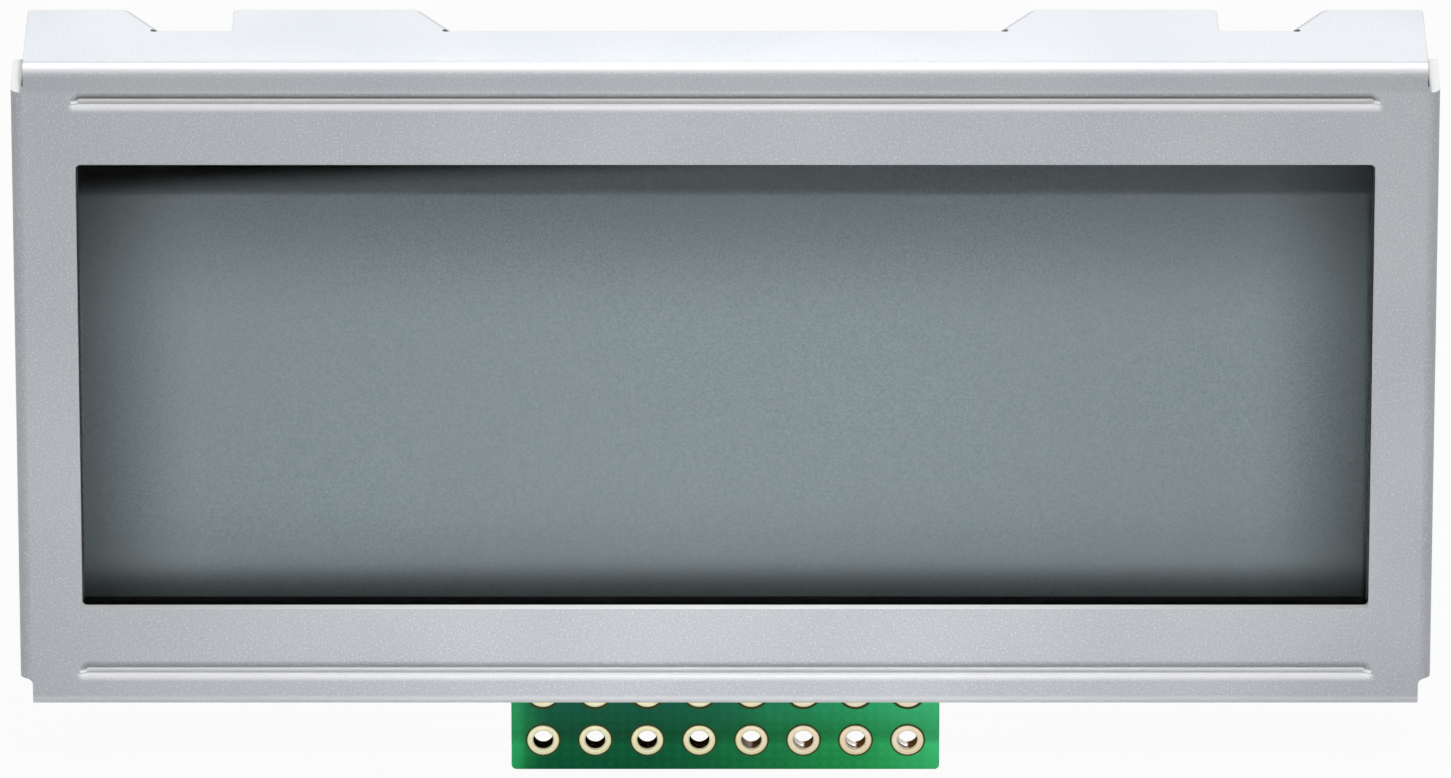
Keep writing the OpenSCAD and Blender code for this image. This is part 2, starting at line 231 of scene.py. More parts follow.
class Finish(Nodes):
    """One material. Its place is in millimetres, and its facing is the surface's own normal."""

    def __init__(self, name):
        self.material = bpy.data.materials.new(name)
        super().__init__(self.material)
        place, facing = self.add("ShaderNodeTexCoord", out=("Object", "Normal"))
        self.place = self.add("ShaderNodeVectorMath", {"operation": "SCALE"},
                              {"Vector": place, "Scale": 1 / MM})
        self.x, self.y, self.z = self.split(self.place)
        self.face_x, self.face_y, self.face_z = self.split(facing)

    def split(self, vector):
        return self.add("ShaderNodeSeparateXYZ", {}, {"Vector": vector}, ("X", "Y", "Z"))

    def stretched(self, x, y, z):
        """The place with each axis divided by a length, for a pattern that is drawn out one way."""
        return self.add("ShaderNodeVectorMath", {"operation": "DIVIDE"}, {0: self.place, 1: (x, y, z)})

    def noise(self, size, detail=2.0, place=None):
        return self.add("ShaderNodeTexNoise", {},
                        {"Vector": place or self.place, "Scale": 1 / size, "Detail": detail})

    def bump(self, height, depth, strength=1.0, under=None):
        """Relief whose depth is in millimetres."""
        sockets = {"Height": height, "Distance": depth * MM, "Strength": strength}
        if under:
            sockets["Normal"] = under
        return self.add("ShaderNodeBump", {}, sockets)

    def rounded_edges(self, radius):
        return self.add("ShaderNodeBevel", {"samples": 4}, {"Radius": radius * MM})

    def surface(self, **sockets):
        inputs = {name.replace("_", " "): value for name, value in sockets.items()}
        shader = self.add("ShaderNodeBsdfPrincipled", {}, inputs)
        self.add("ShaderNodeOutputMaterial", {}, {"Surface": shader})
        return self.material


def cut_edges(f):
    """1 where the bezel's sheet was cut: round the window, and at the flanges' ends and sides."""
    across, high = abs(f.x), abs(f.z)
    window = (across < WINDOW_X + 0.03) * (high < WINDOW_Z + 0.03)
    window = window * (f.y < SHEET + 0.02) * (abs(f.face_y) < 0.5)
    ends = (f.face_y > 0.9) * (f.y > FLANGE_END)
    long_sides = (abs(f.face_x) > 0.9) * (high > LONG_FLANGE_Z)
    short_sides = (abs(f.face_z) > 0.9) * (across > SHORT_FLANGE_X)
    return (window + ends + long_sides + short_sides).smaller(1)


def groove_parts(f):
    """1 on the floor, on the upper wall and on the lower wall of the two pressed grooves, which get a
    painted highlight, painted shade and a painted highlight.
    """
    across = abs(f.x)
    off_groove = f.z - GROOVE_Z * f.z.sign()
    outside = (f.y < SHEET) * (f.face_y < 0.2)
    pressed = outside * (abs(off_groove) < GROOVE_REACH) * (f.y > 0.006) * (across < GROOVE_X)
    floor = pressed * off_groove.band(-0.135, -0.02, 0.02)
    shaded_upper_wall = pressed * off_groove.band(0.05, 0.42, 0.05) * (0.5 + (f.z > 0) * 0.5)
    beside = outside * across.rise(GROOVE_X + 0.1, GROOVE_X - 0.3)
    lit_lower_wall = beside * off_groove.rise(-0.62, -0.22) * off_groove.rise(-0.155, -0.205)
    return floor, shaded_upper_wall, lit_lower_wall


def satin_plating():
    """The bezel: fine satin plating, with painted highlights on its cut edges, bends and grooves' floors
    and lower walls, and painted shade on the grooves' upper walls, the top bend's upper half and the face
    above the upper groove.
    """
    f = Finish("satin_plating")
    bright = (0.80, 0.81, 0.83)
    grain = f.noise(0.09, 1)
    front = f.face_y < -0.5
    sparkle = f.noise(0.10, 1).rise(0.52, 0.76) * (0.25 + front * 0.75)
    cut = cut_edges(f)
    floor, shaded_upper_wall, lit_lower_wall = groove_parts(f)
    # Painted shade: the top bends' upper half and the face strip above the upper groove are mixed darker.
    shaded_bend_top = (f.z > BEND_Z) * f.face_y.band(-0.48, -0.10, 0.06)
    shaded_above_groove = f.z.band(15.4, 15.95, 0.2)
    # Painted highlight: the bends are mixed towards the bright tone, most where they turn upwards.
    turned = f.face_z.rise(0.0, 0.65) * 0.95 + f.face_z.rise(-0.02, -0.25) * 0.55
    bend_highlight = (abs(f.z) > BEND_Z) * (f.face_y < -0.4) * turned
    tone = f.mix(f.noise(7, 0).streaks(), (0.470, 0.493, 0.522), (0.500, 0.521, 0.547))
    tone = f.mix(grain.rise(0.35, 0.65) * (0.05 + front * 0.13), tone, (0.28, 0.29, 0.31))
    tone = f.mix(sparkle * 0.45, tone, bright)
    tone = f.mix(bend_highlight, tone, bright)
    tone = f.mix(shaded_bend_top * 0.5 + shaded_above_groove * 0.3, tone, (0.36, 0.37, 0.39))
    # Painted shade on the grooves' upper walls, and a painted highlight on their lower walls.
    tone = f.mix(shaded_upper_wall * (0.30 + f.y * 1.6).smaller(0.74), tone, (0.055, 0.044, 0.036))
    tone = f.mix(lit_lower_wall * (0.70 + grain * 0.6).smaller(1), tone, (0.97, 0.97, 0.98))
    # Painted highlight on the bare cut edges and the burnished groove floors: near-white and hardly
    # metallic.
    tone = f.mix((cut * 0.95 + floor).smaller(1), tone, (0.95, 0.95, 0.95))
    metal = 0.70 - (cut + floor + lit_lower_wall).smaller(1) * 0.6
    relief = f.bump(grain, 0.006, 0.5, f.rounded_edges(0.05))
    return f.surface(Base_Color=tone, Metallic=metal, Roughness=0.42 + (grain - 0.5) * 0.25, Normal=relief)


def window_film():
    """The front polariser: a clear film with a faint gloss, and a black line at both ends painted as the
    shadow in the gap under the bezel.
    """
    f = Finish("window_film")
    # Painted shadow: the film turns black at both ends of the window, where the gap under the bezel lies in
    # shade.
    gap_shadow_line = (abs(f.x) + f.noise(0.2, 1) * 0.10).rise(WINDOW_X - 0.06, WINDOW_X - 0.03)
    black = f.mix(f.noise(0.08, 0), (0.004, 0.004, 0.004), (0.012, 0.012, 0.012))
    gloss = f.add("ShaderNodeBsdfPrincipled", {},
                  {"Base Color": black, "Roughness": 0.31 - gap_shadow_line * 0.1})
    clear = f.add("ShaderNodeBsdfTransparent")
    share = (f.face_y < -0.5) * (0.08 + gap_shadow_line * 0.92)
    both = f.add("ShaderNodeMixShader", {}, {0: share, 1: clear, 2: gloss})
    f.add("ShaderNodeOutputMaterial", {}, {"Surface": both})
    return f.material


def cell_glass():
    """The two plates of the cell: bonded faces that nothing shows of, and ground green edges."""
    f = Finish("cell_glass")
    edge = abs(f.face_y) < 0.5
    tone = f.mix(f.noise(0.3, 1).streaks(), (0.12, 0.25, 0.20), (0.20, 0.35, 0.30))
    return f.surface(Base_Color=tone, Alpha=edge * 0.6, Roughness=0.45)


def silver_reflector():
    """The rear polariser with its grey reflector, with painted shade towards the window's frame, painted
    shadow under its top edge and painted light just above its bottom edge.
    """
    f = Finish("silver_reflector")
    speck = f.noise(0.07, 1)
    cloud = f.noise(11, 0)
    from_side = WINDOW_X - abs(f.x)
    from_top = WINDOW_Z - f.z
    from_bottom = WINDOW_Z + f.z
    # Painted shade: darker towards the window's sides, top and bottom, where the bezel's frame shades the
    # reflector.
    shade = (0.42 + from_side.rise(-0.7, 6.0) * 0.58) * (0.47 + from_top.rise(0, 10) * 0.53)
    shade = shade * (0.30 + from_bottom.rise(-0.75, 1.2) * 0.70)
    # Painted shadow: a darker band below the top edge, a black wedge at the top left and a black strip
    # along the top.
    band = f.z.rise(8.72, 8.84)
    shadow_wedge = (f.z - f.x * 0.05).rise(9.9, 11.3).larger(f.z.rise(10.3, 11.0))
    shade = shade * (1 - band * 0.16) * (1 - shadow_wedge)
    tone = f.mix(speck.streaks(), (0.276, 0.342, 0.363), (0.366, 0.432, 0.453))
    tone = f.mix(cloud.rise(0.25, 0.75) * 0.25, tone, (0.320, 0.372, 0.384))
    # Painted light: a lighter strip just above the bottom edge.
    tone = f.mix(f.z.band(-10.4, -10.2, 1.3) * 0.32, tone, (0.43, 0.50, 0.52))
    tone = f.mix(shade, (0.0, 0.0, 0.0), tone)
    return f.surface(Base_Color=tone, Roughness=0.55 + speck * 0.2, Specular_IOR_Level=0.0,
                     Normal=f.bump(speck, 0.004, 0.3))


def seal_resin():
    """The black seal round the cell and the plug of its filling port."""
    f = Finish("seal_resin")
    tone = f.mix(f.noise(0.5, 3).streaks(), (0.002, 0.002, 0.002), (0.005, 0.005, 0.005))
    return f.surface(Base_Color=tone, Roughness=0.45 + f.noise(0.3) * 0.2, Specular_IOR_Level=0.0)


def contact_rubber():
    """The contact strips: dark conducting layers between pale insulating ones, along their whole length."""
    f = Finish("contact_rubber")
    layer_l = 0.18
    layer = abs((f.x % layer_l) / layer_l - 0.5).rise(0.20, 0.28)
    tone = f.mix(layer, (0.025, 0.025, 0.027), (0.30, 0.30, 0.29))
    return f.surface(Base_Color=tone, Roughness=0.75 + f.noise(0.1) * 0.15, Normal=f.bump(layer, 0.01, 0.3))


def holder_plastic():
    """The moulded holder: off-white with a fine grit."""
    f = Finish("holder_plastic")
    grit = f.noise(0.12, 3)
    tone = f.mix(f.noise(4).streaks(), (0.60, 0.60, 0.57), (0.66, 0.66, 0.63))
    return f.surface(Base_Color=tone, Roughness=0.45 + grit * 0.15, Normal=f.bump(grit, 0.008, 0.3))


def gold_plating():
    """Thin bright gold over nickel, a little uneven, and pinker towards the right."""
    f = Finish("gold_plating")
    cloud = f.noise(0.9, 2).streaks()
    grain = f.noise(0.05, 1)
    yellow = f.mix(cloud, (1.00, 0.94, 0.62), (1.00, 0.97, 0.70))
    pink = f.mix(cloud, (1.00, 0.84, 0.60), (1.00, 0.90, 0.70))
    tone = f.mix(f.x.rise(-3, 6), yellow, pink)
    return f.surface(Base_Color=tone, Metallic=1.0, Roughness=0.54 + grain * 0.12,
                     Normal=f.bump(grain, 0.002, 0.3))


def barrel_plating():
    """The plating in the header holes: painted shade at the left, and at the right a painted highlight
    broken by a brown streak.
    """
    f = Finish("barrel_plating")
    mottle = f.noise(0.2, 1)
    off_hole = (f.x % PITCH) - PITCH / 2
    # Painted highlight: near-white and metallic in the holes at the right, except a brown streak; painted
    # shade, near black, in those at the left.
    bright = f.x.rise(-1, 5) * (1 - (off_hole + mottle * 0.2).rise(0.04, 0.20))
    shaded_tone = f.mix(f.x.rise(-2, 3), (0.004, 0.003, 0.002), (0.16, 0.075, 0.028))
    tone = f.mix(mottle.rise(0.55, 0.75), shaded_tone, (0.10, 0.05, 0.02))
    tone = f.mix(bright, tone, (0.98, 0.93, 0.86))
    return f.surface(Base_Color=tone, Metallic=bright, Roughness=0.55 - bright * 0.30,
                     Specular_IOR_Level=0.0)


def mask_gap(f):
    """1 where the solder mask stands back from a header ring, and 0 elsewhere."""
    across = abs((f.x % PITCH) - PITCH / 2)
    nearest_row = abs(f.z - HOLE_Z[0]).smaller(abs(f.z - HOLE_Z[1]))
    reach = (across * across + nearest_row * nearest_row).root()
    upper = f.z.rise(-19.2, -19.0)
    return (1 - (reach - upper * 0.05).rise(0.84, 0.88)) * (abs(f.x) < TONGUE_X)


def fibre_weave(f):
    """The weave of the board's glass fibre, faint through the mask."""
    thread_x, thread_z = 0.55, 0.48
    weave_x = abs(((f.x + f.noise(2) * 0.15) % thread_x) / thread_x - 0.5)
    weave_z = abs(((f.z + f.noise(3) * 0.15) % thread_z) / thread_z - 0.5)
    return (weave_x * weave_z).rise(0.02, 0.16)


def solder_mask():
    """The board: green solder mask with a gap round each header ring, and glass-fibre edges, with painted
    light on its front.
    """
    f = Finish("solder_mask")
    bare_board = (0.060, 0.075, 0.016)
    weave, gap = fibre_weave(f), mask_gap(f)
    fleck, slow = f.noise(0.09, 3), f.noise(5, 2)
    edge, behind = abs(f.face_y) < 0.5, f.face_y > 0.5
    # Painted light: the front is mixed lighter towards the right, at its left end and at the tongue's ends.
    # Near the bezel it takes another green, lighter at the right.
    dark = f.mix(weave, (0.002, 0.142, 0.052), (0.003, 0.172, 0.062))
    lit_green = f.mix(weave, (0.030, 0.530, 0.135), (0.036, 0.600, 0.155))
    right = (f.x + (slow - 0.5) * 5).rise(-4, 11)
    left = (f.x + (slow - 0.5) * 1.5).rise(-8.6, -10.6)
    upper = f.mix(right, (0.010, 0.22, 0.17), (0.06, 0.95, 0.50))
    tone = f.mix((right + left * 0.75).smaller(1), dark, lit_green)
    tone = f.mix(f.z.rise(-20.5, -18) * 0.35, tone, upper)
    tone = f.mix(abs(f.x).rise(9.6, 10.3) * 0.5, tone, (0.05, 0.72, 0.24))
    tone = f.mix(f.x.rise(6, 10.4) * 0.35, tone, (0.13, 1.00, 0.42))
    tone = f.mix(fleck.rise(0.55, 0.75) * 0.25, tone, (0.03, 0.24, 0.10))
    rear = f.mix(weave, (0.004, 0.105, 0.040), (0.005, 0.120, 0.046))
    rear = f.mix(slow.streaks(), rear, (0.006, 0.135, 0.052))
    tone = f.mix(gap, f.mix(behind, tone, rear), bare_board)
    threads = f.noise(0.12, 3, f.stretched(6, 1, 6)).streaks()
    tone = f.mix(edge, tone, f.mix(threads, (0.30, 0.33, 0.12), (0.46, 0.46, 0.22)))
    rough = 0.22 + fleck * 0.10 + edge * 0.4 + gap * 0.3
    return f.surface(Base_Color=tone, Roughness=rough, Specular_IOR_Level=0.1, Coat_Weight=behind * 0.4,
                     Coat_Roughness=0.12, Normal=f.bump(weave * 0.6 + slow, 0.006, 0.25))


def masked_copper():
    """Copper tracks and planes under the solder mask, which look a lighter green than the bare board."""
    f = Finish("masked_copper")
    slow, fleck = f.noise(6, 1), f.noise(0.15, 1)
    tone = f.mix(slow.streaks(), (0.010, 0.215, 0.075), (0.014, 0.255, 0.090))
    tone = f.mix(fleck.rise(0.55, 0.75) * 0.2, tone, (0.03, 0.32, 0.13))
    return f.surface(Base_Color=tone, Roughness=0.24 + fleck * 0.10, Coat_Weight=0.4, Coat_Roughness=0.12,
                     Normal=f.bump(slow, 0.006, 0.25))


def silk_ink():
    """White printed lines, thin and a little worn."""
    f = Finish("silk_ink")
    worn = f.noise(0.25, 2)
    tone = f.mix(worn.rise(0.35, 0.75), (0.80, 0.80, 0.77), (0.55, 0.60, 0.55))
    return f.surface(Base_Color=tone, Roughness=0.6 + worn * 0.2)


def driver_resin():
    """The black resin of the drops: glossy, rippled, and paler where its skirt runs out thin."""
    f = Finish("driver_resin")
    ripple, pits = f.noise(2.8, 2), f.noise(0.12, 2)
    thin = (f.y - BOARD_REAR).rise(0.45, 0.0)
    tone = f.mix(ripple.streaks(), (0.004, 0.004, 0.005), (0.010, 0.009, 0.009))
    tone = f.mix(thin * 0.8, tone, (0.030, 0.034, 0.022))
    return f.surface(Base_Color=tone, Roughness=0.12 + pits * 0.12 + thin * 0.2,
                     Normal=f.bump(ripple + pits * 0.03, 0.45, 0.5))


def resistor_glaze():
    """The resistors: black glaze on top, and pale ceramic sides."""
    f = Finish("resistor_glaze")
    speck = f.noise(0.08, 3)
    side = f.face_y < 0.5
    tone = f.mix(speck.rise(0.35, 0.7), (0.012, 0.012, 0.014), (0.030, 0.030, 0.034))
    tone = f.mix(side, tone, (0.62, 0.61, 0.58))
    return f.surface(Base_Color=tone, Roughness=0.30 + speck * 0.2 + side * 0.2,
                     Normal=f.bump(speck, 0.006, 0.3))


def capacitor_ceramic():
    """The capacitors: brown ceramic, matt and speckled."""
    f = Finish("capacitor_ceramic")
    speck = f.noise(0.10, 3)
    tone = f.mix(speck.streaks(), (0.36, 0.22, 0.12), (0.46, 0.30, 0.17))
    return f.surface(Base_Color=tone, Roughness=0.5 + speck * 0.2, Normal=f.bump(speck, 0.008, 0.4))


def bright_tin():
    """The tin on the chips' caps and the solder: bright, with a fine crust."""
    f = Finish("bright_tin")
    crust = f.noise(0.18, 3)
    tone = f.mix(crust.streaks(), (0.62, 0.62, 0.61), (0.76, 0.76, 0.74))
    return f.surface(Base_Color=tone, Metallic=0.95, Roughness=0.22 + crust * 0.2,
                     Normal=f.bump(crust, 0.02, 0.4))


def dress(finish, *nodes):
    """Give CAD nodes a finish."""
    for name in nodes:
        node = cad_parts[name]
        for slot in node.material_slots:
            slot.material = finish


def new_piece(name, bm, finish, smooth=False):
    """A finished piece: its mesh in place, its finish, and its ride on the module."""
    bmesh.ops.remove_doubles(bm, verts=bm.verts, dist=WELD)
    bmesh.ops.recalc_face_normals(bm, faces=bm.faces)
    mesh = bpy.data.meshes.new(name)
    bm.to_mesh(mesh)
    bm.free()
    for face in mesh.polygons:
        face.use_smooth = smooth
    mesh.materials.append(finish)
    piece = bpy.data.objects.new(name, mesh)
    bpy.context.scene.collection.objects.link(piece)
    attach(piece, "root")
    return piece


def only(kind, made):
    """The vertices, edges or faces among what an operator made."""
    return [g for g in made["geom"] if isinstance(g, kind)]


def draw_out(bm, faces, way):
    """Extrude faces by a vector in millimetres, and keep them as the far side of a closed form."""
    made = bmesh.ops.extrude_face_region(bm, geom=faces, use_keep_orig=True)
    bmesh.ops.translate(bm, verts=only(bmesh.types.BMVert, made), vec=Vector(way) * MM)


def turn_profile(bm, profile, x, z, steps, closed=True):
    """Spin a profile of (radius, depth) points, in millimetres, about the line along Y through x and z."""
    verts = [bm.verts.new(((x + r) * MM, y * MM, z * MM)) for r, y in profile]
    edges = [bm.edges.new(pair) for pair in zip(verts, verts[1:])]
    if closed:
        edges.append(bm.edges.new((verts[-1], verts[0])))
    bmesh.ops.spin(bm, geom=verts + edges, cent=(x * MM, 0, z * MM), axis=(0, 1, 0), dvec=(0, 0, 0),
                   angle=math.tau, steps=steps, use_merge=True)


def turn_on_board(bm, profile, x, z, steps, closed=True):
    """Spin a profile of (radius, height) points that stands on the board's rear face."""
    turn_profile(bm, [(r, BOARD_REAR + y) for r, y in profile], x, z, steps, closed)


def hole_rings(finish):
    """Each header hole's two rings of plating, with rounded lips that turn into the hole."""
    front, rear = BOARD_FRONT - RING_T, BOARD_REAR + RING_T
    lip = [(RING_R, RING_T), (RING_R - 0.012, 0.018), (RING_R - 0.05, 0.0), (0.575, 0.0), (0.535, 0.008),
           (0.505, 0.03), (0.487, 0.07), (BARREL_R, LIP_L), (WALL_R, LIP_L), (WALL_R, RING_T)]
    bm = bmesh.new()
    for x in HOLE_X:
        for z in HOLE_Z:
            turn_profile(bm, [(r, front + d) for r, d in lip], x, z, HOLE_STEPS)
            turn_profile(bm, [(r, rear - d) for r, d in lip], x, z, HOLE_STEPS)
    piece = new_piece("hole_rings", bm, finish, smooth=True)
    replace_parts(piece, "header_rings")


def hole_barrels(finish):
    """The plating down the wall of each header hole, between its lips."""
    front, rear = BOARD_FRONT - RING_T + LIP_L, BOARD_REAR + RING_T - LIP_L
    wall = [(BARREL_R, front), (BARREL_R, rear), (WALL_R, rear), (WALL_R, front)]
    bm = bmesh.new()
    for x in HOLE_X:
        for z in HOLE_Z:
            turn_profile(bm, wall, x, z, HOLE_STEPS)
    new_piece("hole_barrels", bm, finish, smooth=True)


def disc(bm, x, z, radius, top, steps):
    """A flat disc on the board's rear face."""
    middle = Vector((x, BOARD_REAR + top / 2, z)) * MM
    place = Matrix.Translation(middle) @ Matrix.Rotation(math.pi / 2, 4, "X")
    bmesh.ops.create_cone(bm, cap_ends=True, segments=steps, radius1=radius * MM, radius2=radius * MM,
                          depth=top * MM, matrix=place)


def mitres(line, width, closed):
    """For each point of a line, the way to the strip's side there, long enough for a mitred turn."""
    count = len(line)
    sides = []
    for i, here in enumerate(line):
        ways = []
        if i > 0 or closed:
            ways.append((here - line[i - 1]).normalized())
        if i < count - 1 or closed:
            ways.append((line[(i + 1) % count] - here).normalized())
        along = sum(ways, Vector()).normalized()
        sides.append(Vector((-along.z, 0, along.x)) * (width / 2 * MM / along.dot(ways[0])))
    return sides


def track(bm, points, width, top, closed=False):
    """A raised strip along a line of (x, z) points on the board's rear face, with mitred turns."""
    line = [Vector((x, BOARD_REAR, z)) * MM for x, z in points]
    line = [a for i, a in enumerate(line) if i == 0 or (a - line[i - 1]).length > 0.01 * MM]
    count = len(line)
    sides = mitres(line, width, closed)
    verts = [bm.verts.new(line[0] + sides[0] * s) for s in (-1, 1)]
    edge = bm.edges.new(verts)
    faces = []
    for last, i in zip(range(count), list(range(1, count)) + [0] * closed):
        made = bmesh.ops.extrude_edge_only(bm, edges=[edge])
        ends = only(bmesh.types.BMVert, made)
        for vert in ends:
            way = math.copysign(1, (vert.co - line[last]).dot(sides[last]))
            vert.co = line[i] + sides[i] * way
        verts += ends
        faces += only(bmesh.types.BMFace, made)
        edge = next(e for e in only(bmesh.types.BMEdge, made) if all(v in ends for v in e.verts))
    if closed:
        bmesh.ops.remove_doubles(bm, verts=verts, dist=WELD)
    draw_out(bm, faces, (0, top, 0))


def header_tracks(bm):
    """Tracks from the header's holes, between and under the chips, and across to the two drops."""
    starts = {}
    for x, lane in zip(HOLE_X, UPPER_LANES):
        starts[lane] = [(x, HOLE_Z[0] + 0.7), (x, TURN_Z)]
    for x, lane in zip(HOLE_X, LOWER_LANES):
        between = x + PITCH / 2
        starts[lane] = [(x + 0.5, HOLE_Z[1] + 0.5), (between, HOLE_Z[1] + PITCH / 2), (between, TURN_Z)]
    for lane, start in starts.items():
        start.append((lane, TURN_Z + abs(lane - start[-1][0])))
    to_capacitor = LOWER_LANES[-1]
    for side in (-1, 1):
        lanes = [lane for lane in starts if lane * side > 0 and lane != to_capacitor]
        for i, lane in enumerate(sorted(lanes, key=abs, reverse=True)):
            z = -3.0 + 1.1 * i
            rim = side * (DROP_X - math.sqrt(DROP_R ** 2 - (z - DROP_Z) ** 2) + 0.3)
            track(bm, starts[lane] + [(lane, z - 0.8), (lane + side * 0.8, z), (rim, z)], TRACK_W, TRACK_T)
    track(bm, starts[to_capacitor] + [(to_capacitor, CAPACITORS[0][1])], TRACK_W, TRACK_T)


def fan_track(bm, side, angle, turns):
    """A track out of a drop at an angle and on through its turns. Gives the place of the via at its end."""
    out = Vector((math.cos(angle), math.sin(angle)))
    first = [(side * (DROP_X + r * out.x), DROP_Z + r * out.y) for r in (DROP_R - 0.3, FAN_R)]
    turns = [(side * x, z) for x, z in turns]
    track(bm, first + turns, FAN_W, TRACK_T)
    return turns[-1]


def fan_tracks(bm):
    """Tracks from the drops to vias that lead through to the contact fingers. Gives the vias' places."""
    upper = [(140 - 100 * i / 13, DROP_X + (i - 6.5) * 1.25) for i in range(14) if not 4 < i < 9]
    lower = [(-125 + 85 * i / 11, 15.4 + 1.2 * i) for i in range(12)]
    vias = []
    for side in (-1, 1):
        for fan, knee, end in ((upper, 12.0, 13.2), (lower, -12.0, -13.4)):
            for degrees, via in fan:
                angle = math.radians(degrees)
                x = DROP_X + FAN_R * math.cos(angle)
                slant = math.copysign(via - x, knee)
                vias.append(fan_track(bm, side, angle, [(x, knee - slant), (via, knee), (via, end)]))
        for i in range(7):
            angle = math.radians(-30 + 10 * i)
            z = DROP_Z + FAN_R * math.sin(angle)
            vias.append(fan_track(bm, side, angle, [(27.4 + (i % 2) * 1.4, z)]))
    return vias


def board_tracks(finish):
    """The rear side's copper: its tracks and a plane between the drops. Gives the vias' places."""
    bm = bmesh.new()
    header_tracks(bm)
    vias = fan_tracks(bm)
    track(bm, [(-7.4, PLANE_Z), (7.4, PLANE_Z)], 2.8, TRACK_T)
    vias += [(x, PLANE_Z) for x in (-6.4, -3.2, 0, 3.2, 6.4)]
    new_piece("board_tracks", bm, finish)
    return vias


def via_rings(finish, vias):
    """A small plated ring with a dimple at each via, and a row of test pads."""
    bm = bmesh.new()
    ring = [(0.30, 0), (0.30, 0.035), (0.27, 0.045), (0.15, 0.045), (0.11, 0.03), (0.09, 0)]
    for x, z in vias:
        turn_on_board(bm, ring, x, z, 14)
    for i in range(6):
        disc(bm, 2 * i - 5, 11.6, 0.6, 0.04, 24)
    new_piece("via_rings", bm, finish)


def silk_lines(finish):
    """Printed lines round the drops, the chips and the header, and a dot beside the header's first hole."""
    bm = bmesh.new()
    ring = [(7.05, 0), (7.20, 0), (7.20, SILK_T), (7.05, SILK_T)]
    for side in (-1, 1):
        turn_on_board(bm, ring, side * DROP_X, DROP_Z, DROP_STEPS)
    corners = [(-1.65, -0.95), (1.65, -0.95), (1.65, 0.95), (-1.65, 0.95)]
    for x, z in RESISTORS + CAPACITORS:
        track(bm, [(x + across, z + up) for across, up in corners], SILK_W, SILK_T, True)
    high, low = -16.6, -21.7
    header = [(-TONGUE_X, high), (-TONGUE_X, low), (TONGUE_X, low), (TONGUE_X, high)]
    track(bm, header, SILK_W, SILK_T)
    disc(bm, HOLE_X[0] - 0.75, HOLE_Z[0] - PITCH / 2, 0.25, SILK_T, 16)
    new_piece("silk_lines", bm, finish)


def resin_drops(finish):
    """The drops as they set: a thin skirt, a low dome, and an outline that isn't quite round."""
    skin = [(0, 0), (DROP_R, 0), (DROP_R - 0.03, 0.06), (6.25, 0.20), (5.85, 0.38), (5.2, 0.62),
            (4.4, 0.84), (3.5, 1.02), (2.5, 1.15), (1.4, 1.23), (0, 1.26)]
    bm = bmesh.new()
    for side in (-1, 1):
        turn_on_board(bm, skin, side * DROP_X, DROP_Z, DROP_STEPS, closed=False)
    for vert in bm.verts:
        middle = Vector((math.copysign(DROP_X, vert.co.x) * MM, 0, DROP_Z * MM))
        off = vert.co - middle
        around = math.atan2(off.z, off.x)
        three = 1 + math.sin(3 * around + off.x / abs(middle.x))
        five = 1 + math.sin(5 * around + 2)
        swell = 1 - 0.016 * three - 0.008 * five
        vert.co.x, vert.co.z = middle.x + off.x * swell, middle.z + off.z * swell
    piece = new_piece("resin_drops", bm, finish, smooth=True)
    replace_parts(piece, "driver_drops")


def block(bm, low, high, edge):
    """A box between two corners, with rounded edges."""
    low, high = Vector(low) * MM, Vector(high) * MM
    place = Matrix.Translation((low + high) / 2) @ Matrix.Diagonal((*(high - low), 1))
    verts = bmesh.ops.create_cube(bm, size=1, matrix=place)["verts"]
    edges = list({e for v in verts for e in v.link_edges})
    bmesh.ops.bevel(bm, geom=edges, offset=edge * MM, offset_type="OFFSET", segments=3, profile=0.5,
                    affect="EDGES", material=-1)


def chip_bodies(name, chips, height, finish, node):
    """The chips' ceramic bodies, a little lower and narrower than their end caps."""
    foot, top = BOARD_REAR + 0.01, BOARD_REAR + height - 0.03
    bm = bmesh.new()
    for x, z in chips:
        block(bm, (x - BODY_L, foot, z - BODY_W), (x + BODY_L, top, z + BODY_W), 0.03)
    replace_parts(new_piece(name, bm, finish), node)


def chip_ends():
    """Both ends of every chip: the chip's place and height, and the way that the end faces along X."""
    for chips, height in ((RESISTORS, RESISTOR_H), (CAPACITORS, CAPACITOR_H)):
        for x, z in chips:
            for way in (-1, 1):
                yield x, z, height, way


def chip_caps(finish):
    """The metal caps over both ends of every chip, with soft edges."""
    bm = bmesh.new()
    for x, z, height, way in chip_ends():
        left, right = sorted((x + way * CAP_INNER, x + way * CHIP_END))
        block(bm, (left, BOARD_REAR, z - CAP_W), (right, BOARD_REAR + height, z + CAP_W), 0.06)
    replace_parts(new_piece("chip_caps", bm, finish), "chip_end_caps")


def solder_beads(finish):
    """The solder at both ends of every chip, drawn up the cap in a hollow curve."""
    curve = [(-0.03, 0), (0.35, 0), (0.24, 0.08), (0.14, 0.24), (0.06, 0.52), (0.02, 0.80), (-0.03, 0.80)]
    bm = bmesh.new()
    for x, z, height, way in chip_ends():
        outline = [(x + way * (CHIP_END + out), BOARD_REAR + up * height, z - BEAD_W) for out, up in curve]
        verts = [bm.verts.new(Vector(point) * MM) for point in outline]
        face = bmesh.ops.contextual_create(bm, geom=verts)["faces"]
        draw_out(bm, face, (0, 0, 2 * BEAD_W))
    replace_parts(new_piece("solder_beads", bm, finish), "solder_fillets")


def add_object(name, data):
    """A new object of the studio, in the scene."""
    obj = bpy.data.objects.new(name, data)
    bpy.context.scene.collection.objects.link(obj)
    return obj


